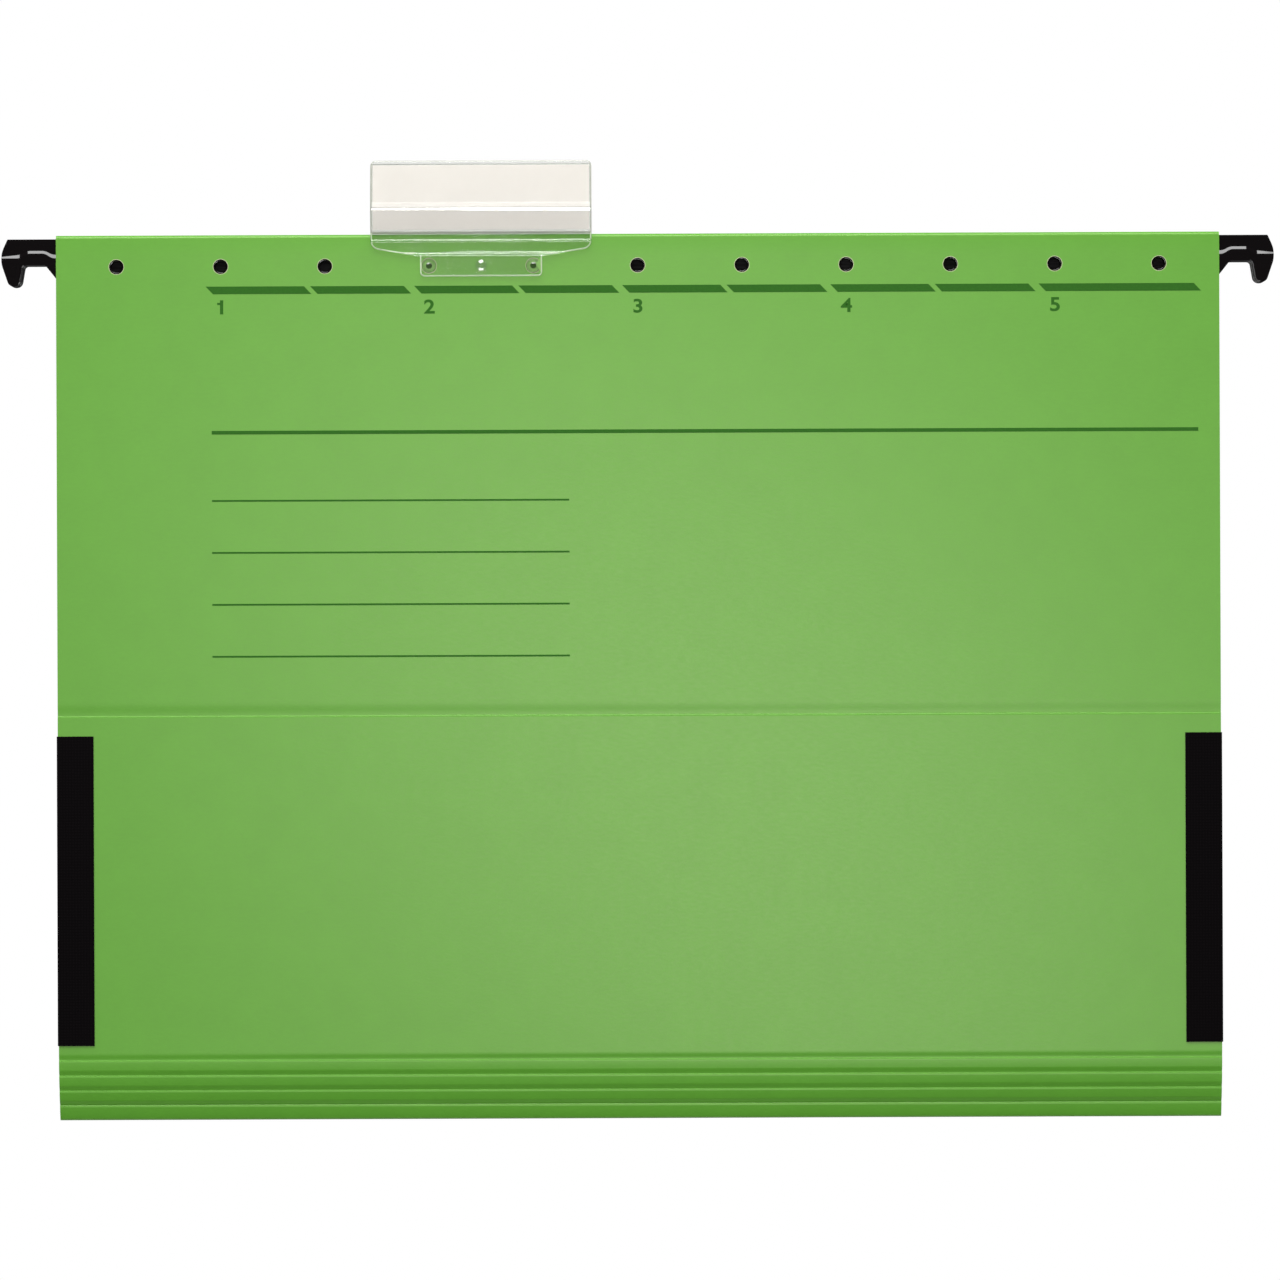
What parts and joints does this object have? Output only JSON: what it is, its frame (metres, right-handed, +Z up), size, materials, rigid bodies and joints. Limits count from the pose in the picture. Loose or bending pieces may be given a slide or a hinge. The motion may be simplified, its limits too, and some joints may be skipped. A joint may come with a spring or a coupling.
{
  "type": "hanging file folder",
  "caption": "Green card hanging file folder with black hooked rails, folding scored base, cloth side gussets and a clear index tab holding a blank label.",
  "frame": {"origin": "midway between the hook notches, at the height of the hook seats, between the two covers", "axes": "+X along the rails to the right as seen from the front, +Y to the back, +Z up"},
  "size_m": [0.348, 0.0095, 0.2621],
  "materials": {
    "card": "uncoated coloured card, matt, printed dark green",
    "rail": "black moulded plastic, satin gloss",
    "cloth": "black woven cloth tape, matt",
    "tab": "clear moulded plastic, glossy",
    "label": "off-white blank paper"
  },
  "bodies": {
    "back_cover": {"back_panel": "card", "back_hem": "card", "back_top_fold": "card", "back_rail": "rail", "back_tape_left": "cloth", "back_tape_right": "cloth"},
    "back_base": {"back_strip_1": "card", "back_strip_2": "card", "back_strip_3": "card", "back_strip_4": "card"},
    "front_base": {"front_strip_4": "card", "front_strip_3": "card", "front_strip_2": "card", "front_strip_1": "card"},
    "front_wall": {"front_wall": "card", "front_tape_left": "cloth", "front_tape_right": "cloth"},
    "front_flap": {"front_flap": "card", "front_hem": "card", "front_top_fold": "card", "front_rail": "rail"},
    "tab": {"tab": "tab"},
    "label": {"label": "label"},
    "gusset_left_back": {"gusset_left_back": "cloth"},
    "gusset_left_front": {"gusset_left_front": "cloth"},
    "gusset_right_back": {"gusset_right_back": "cloth"},
    "gusset_right_front": {"gusset_right_front": "cloth"}
  },
  "joints": [
    {"name": "bottom_fold", "type": "hinge", "parent": "back_base", "child": "front_base", "pos_m": [0, 0, -0.23383], "axis": [1, 0, 0], "range_deg": [0, 143]},
    {"name": "base_open", "type": "hinge", "parent": "back_cover", "child": "back_base", "pos_m": [0, 0.0032, -0.2174], "axis": [-1, 0, 0], "range_deg": [0, 71.52]},
    {"name": "front_base_fold", "type": "hinge", "parent": "front_base", "child": "front_wall", "pos_m": [0, -0.0032, -0.2174], "axis": [-1, 0, 0], "range_deg": [0, 71.52]},
    {"name": "gusset_left_back_fold", "type": "hinge", "parent": "back_cover", "child": "gusset_left_back", "pos_m": [-0.159, 0.00315, -0.2135], "axis": [0, 0, -1], "range_deg": [0, 71.71]},
    {"name": "gusset_left_front_fold", "type": "hinge", "parent": "front_wall", "child": "gusset_left_front", "pos_m": [-0.159, -0.00315, -0.2135], "axis": [0, 0, 1], "range_deg": [0, 71.71]},
    {"name": "gusset_right_back_fold", "type": "hinge", "parent": "back_cover", "child": "gusset_right_back", "pos_m": [0.159, 0.00315, -0.2135], "axis": [0, 0, 1], "range_deg": [0, 71.71]},
    {"name": "gusset_right_front_fold", "type": "hinge", "parent": "front_wall", "child": "gusset_right_front", "pos_m": [0.159, -0.00315, -0.2135], "axis": [0, 0, -1], "range_deg": [0, 71.71]},
    {"name": "front_crease", "type": "hinge", "parent": "front_wall", "child": "front_flap", "pos_m": [0, -0.0035, -0.1233], "axis": [1, 0, 0], "range_deg": [0, 170]},
    {"name": "tab_pull", "type": "slide", "parent": "front_flap", "child": "tab", "axis": [0, -1, 0], "range_m": [0, 0.02]},
    {"name": "label_slide", "type": "slide", "parent": "tab", "child": "label", "axis": [1, 0, 0], "range_m": [0, 0.06]}
  ],
  "couplings": [
    {"joint": "base_open", "follows": "bottom_fold", "ratio": 0.5},
    {"joint": "front_base_fold", "follows": "bottom_fold", "ratio": 0.5},
    {"joint": "gusset_left_back_fold", "follows": "bottom_fold", "ratio": 0.50135},
    {"joint": "gusset_left_front_fold", "follows": "bottom_fold", "ratio": 0.50135},
    {"joint": "gusset_right_back_fold", "follows": "bottom_fold", "ratio": 0.50135},
    {"joint": "gusset_right_front_fold", "follows": "bottom_fold", "ratio": 0.50135}
  ]
}
